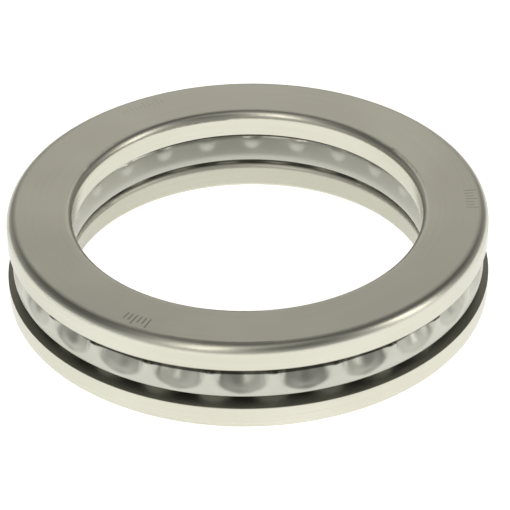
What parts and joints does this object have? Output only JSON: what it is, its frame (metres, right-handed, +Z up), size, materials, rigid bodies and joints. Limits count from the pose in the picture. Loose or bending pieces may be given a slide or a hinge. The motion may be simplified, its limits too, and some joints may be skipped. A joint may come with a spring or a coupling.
{
  "type": "thrust ball bearing",
  "caption": "Flat ring bearing for axial load: grooved steel washers with caged balls rolling between them, and a top washer that turns with the shaft.",
  "frame": {"origin": "centre of the housing washer's back face, on the bearing's axis", "axes": "+Z up the bearing's axis, from the housing washer to the shaft washer; +X through the centre of ball_01"},
  "size_m": [0.09, 0.09, 0.018],
  "materials": {
    "washer_steel": "ground",
    "cage_steel": "satin pressed",
    "ball_steel": "polished"
  },
  "bodies": {
    "housing_washer": {"housing_washer": "washer_steel"},
    "shaft_washer": {"shaft_washer": "washer_steel"},
    "ball_cage": {"ball_cage": "cage_steel"},
    "ball_01": {"ball_01": "ball_steel"},
    "ball_02": {"ball_02": "ball_steel"},
    "ball_03": {"ball_03": "ball_steel"},
    "ball_04": {"ball_04": "ball_steel"},
    "ball_05": {"ball_05": "ball_steel"},
    "ball_06": {"ball_06": "ball_steel"},
    "ball_07": {"ball_07": "ball_steel"},
    "ball_08": {"ball_08": "ball_steel"},
    "ball_09": {"ball_09": "ball_steel"},
    "ball_10": {"ball_10": "ball_steel"},
    "ball_11": {"ball_11": "ball_steel"},
    "ball_12": {"ball_12": "ball_steel"},
    "ball_13": {"ball_13": "ball_steel"},
    "ball_14": {"ball_14": "ball_steel"},
    "ball_15": {"ball_15": "ball_steel"},
    "ball_16": {"ball_16": "ball_steel"},
    "ball_17": {"ball_17": "ball_steel"},
    "ball_18": {"ball_18": "ball_steel"},
    "ball_19": {"ball_19": "ball_steel"},
    "ball_20": {"ball_20": "ball_steel"},
    "ball_21": {"ball_21": "ball_steel"},
    "ball_22": {"ball_22": "ball_steel"},
    "ball_23": {"ball_23": "ball_steel"},
    "ball_24": {"ball_24": "ball_steel"}
  },
  "joints": [
    {"name": "shaft_spin", "type": "hinge", "parent": "housing_washer", "child": "shaft_washer", "pos_m": [0, 0, 0.018], "axis": [0, 0, 1], "continuous": true},
    {"name": "cage_orbit", "type": "hinge", "parent": "housing_washer", "child": "ball_cage", "pos_m": [0, 0, 0.009], "axis": [0, 0, 1], "continuous": true},
    {"name": "ball_01_roll", "type": "hinge", "parent": "ball_cage", "child": "ball_01", "pos_m": [0.03875, 0, 0.009], "axis": [1, 0, 0], "continuous": true},
    {"name": "ball_02_roll", "type": "hinge", "parent": "ball_cage", "child": "ball_02", "pos_m": [0.03743, 0.01003, 0.009], "axis": [0.9659, 0.2588, 0], "continuous": true},
    {"name": "ball_03_roll", "type": "hinge", "parent": "ball_cage", "child": "ball_03", "pos_m": [0.03356, 0.01937, 0.009], "axis": [0.866, 0.5, 0], "continuous": true},
    {"name": "ball_04_roll", "type": "hinge", "parent": "ball_cage", "child": "ball_04", "pos_m": [0.0274, 0.0274, 0.009], "axis": [0.7071, 0.7071, 0], "continuous": true},
    {"name": "ball_05_roll", "type": "hinge", "parent": "ball_cage", "child": "ball_05", "pos_m": [0.01937, 0.03356, 0.009], "axis": [0.5, 0.866, 0], "continuous": true},
    {"name": "ball_06_roll", "type": "hinge", "parent": "ball_cage", "child": "ball_06", "pos_m": [0.01003, 0.03743, 0.009], "axis": [0.2588, 0.9659, 0], "continuous": true},
    {"name": "ball_07_roll", "type": "hinge", "parent": "ball_cage", "child": "ball_07", "pos_m": [0, 0.03875, 0.009], "axis": [0, 1, 0], "continuous": true},
    {"name": "ball_08_roll", "type": "hinge", "parent": "ball_cage", "child": "ball_08", "pos_m": [-0.01003, 0.03743, 0.009], "axis": [-0.2588, 0.9659, 0], "continuous": true},
    {"name": "ball_09_roll", "type": "hinge", "parent": "ball_cage", "child": "ball_09", "pos_m": [-0.01937, 0.03356, 0.009], "axis": [-0.5, 0.866, 0], "continuous": true},
    {"name": "ball_10_roll", "type": "hinge", "parent": "ball_cage", "child": "ball_10", "pos_m": [-0.0274, 0.0274, 0.009], "axis": [-0.7071, 0.7071, 0], "continuous": true},
    {"name": "ball_11_roll", "type": "hinge", "parent": "ball_cage", "child": "ball_11", "pos_m": [-0.03356, 0.01937, 0.009], "axis": [-0.866, 0.5, 0], "continuous": true},
    {"name": "ball_12_roll", "type": "hinge", "parent": "ball_cage", "child": "ball_12", "pos_m": [-0.03743, 0.01003, 0.009], "axis": [-0.9659, 0.2588, 0], "continuous": true},
    {"name": "ball_13_roll", "type": "hinge", "parent": "ball_cage", "child": "ball_13", "pos_m": [-0.03875, 0, 0.009], "axis": [-1, 0, 0], "continuous": true},
    {"name": "ball_14_roll", "type": "hinge", "parent": "ball_cage", "child": "ball_14", "pos_m": [-0.03743, -0.01003, 0.009], "axis": [-0.9659, -0.2588, 0], "continuous": true},
    {"name": "ball_15_roll", "type": "hinge", "parent": "ball_cage", "child": "ball_15", "pos_m": [-0.03356, -0.01937, 0.009], "axis": [-0.866, -0.5, 0], "continuous": true},
    {"name": "ball_16_roll", "type": "hinge", "parent": "ball_cage", "child": "ball_16", "pos_m": [-0.0274, -0.0274, 0.009], "axis": [-0.7071, -0.7071, 0], "continuous": true},
    {"name": "ball_17_roll", "type": "hinge", "parent": "ball_cage", "child": "ball_17", "pos_m": [-0.01937, -0.03356, 0.009], "axis": [-0.5, -0.866, 0], "continuous": true},
    {"name": "ball_18_roll", "type": "hinge", "parent": "ball_cage", "child": "ball_18", "pos_m": [-0.01003, -0.03743, 0.009], "axis": [-0.2588, -0.9659, 0], "continuous": true},
    {"name": "ball_19_roll", "type": "hinge", "parent": "ball_cage", "child": "ball_19", "pos_m": [0, -0.03875, 0.009], "axis": [0, -1, 0], "continuous": true},
    {"name": "ball_20_roll", "type": "hinge", "parent": "ball_cage", "child": "ball_20", "pos_m": [0.01003, -0.03743, 0.009], "axis": [0.2588, -0.9659, 0], "continuous": true},
    {"name": "ball_21_roll", "type": "hinge", "parent": "ball_cage", "child": "ball_21", "pos_m": [0.01937, -0.03356, 0.009], "axis": [0.5, -0.866, 0], "continuous": true},
    {"name": "ball_22_roll", "type": "hinge", "parent": "ball_cage", "child": "ball_22", "pos_m": [0.0274, -0.0274, 0.009], "axis": [0.7071, -0.7071, 0], "continuous": true},
    {"name": "ball_23_roll", "type": "hinge", "parent": "ball_cage", "child": "ball_23", "pos_m": [0.03356, -0.01937, 0.009], "axis": [0.866, -0.5, 0], "continuous": true},
    {"name": "ball_24_roll", "type": "hinge", "parent": "ball_cage", "child": "ball_24", "pos_m": [0.03743, -0.01003, 0.009], "axis": [0.9659, -0.2588, 0], "continuous": true}
  ],
  "couplings": [
    {"joint": "cage_orbit", "follows": "shaft_spin", "ratio": 0.5},
    {"joint": "ball_01_roll", "follows": "shaft_spin", "ratio": -4.4382},
    {"joint": "ball_02_roll", "follows": "shaft_spin", "ratio": -4.4382},
    {"joint": "ball_03_roll", "follows": "shaft_spin", "ratio": -4.4382},
    {"joint": "ball_04_roll", "follows": "shaft_spin", "ratio": -4.4382},
    {"joint": "ball_05_roll", "follows": "shaft_spin", "ratio": -4.4382},
    {"joint": "ball_06_roll", "follows": "shaft_spin", "ratio": -4.4382},
    {"joint": "ball_07_roll", "follows": "shaft_spin", "ratio": -4.4382},
    {"joint": "ball_08_roll", "follows": "shaft_spin", "ratio": -4.4382},
    {"joint": "ball_09_roll", "follows": "shaft_spin", "ratio": -4.4382},
    {"joint": "ball_10_roll", "follows": "shaft_spin", "ratio": -4.4382},
    {"joint": "ball_11_roll", "follows": "shaft_spin", "ratio": -4.4382},
    {"joint": "ball_12_roll", "follows": "shaft_spin", "ratio": -4.4382},
    {"joint": "ball_13_roll", "follows": "shaft_spin", "ratio": -4.4382},
    {"joint": "ball_14_roll", "follows": "shaft_spin", "ratio": -4.4382},
    {"joint": "ball_15_roll", "follows": "shaft_spin", "ratio": -4.4382},
    {"joint": "ball_16_roll", "follows": "shaft_spin", "ratio": -4.4382},
    {"joint": "ball_17_roll", "follows": "shaft_spin", "ratio": -4.4382},
    {"joint": "ball_18_roll", "follows": "shaft_spin", "ratio": -4.4382},
    {"joint": "ball_19_roll", "follows": "shaft_spin", "ratio": -4.4382},
    {"joint": "ball_20_roll", "follows": "shaft_spin", "ratio": -4.4382},
    {"joint": "ball_21_roll", "follows": "shaft_spin", "ratio": -4.4382},
    {"joint": "ball_22_roll", "follows": "shaft_spin", "ratio": -4.4382},
    {"joint": "ball_23_roll", "follows": "shaft_spin", "ratio": -4.4382},
    {"joint": "ball_24_roll", "follows": "shaft_spin", "ratio": -4.4382}
  ]
}
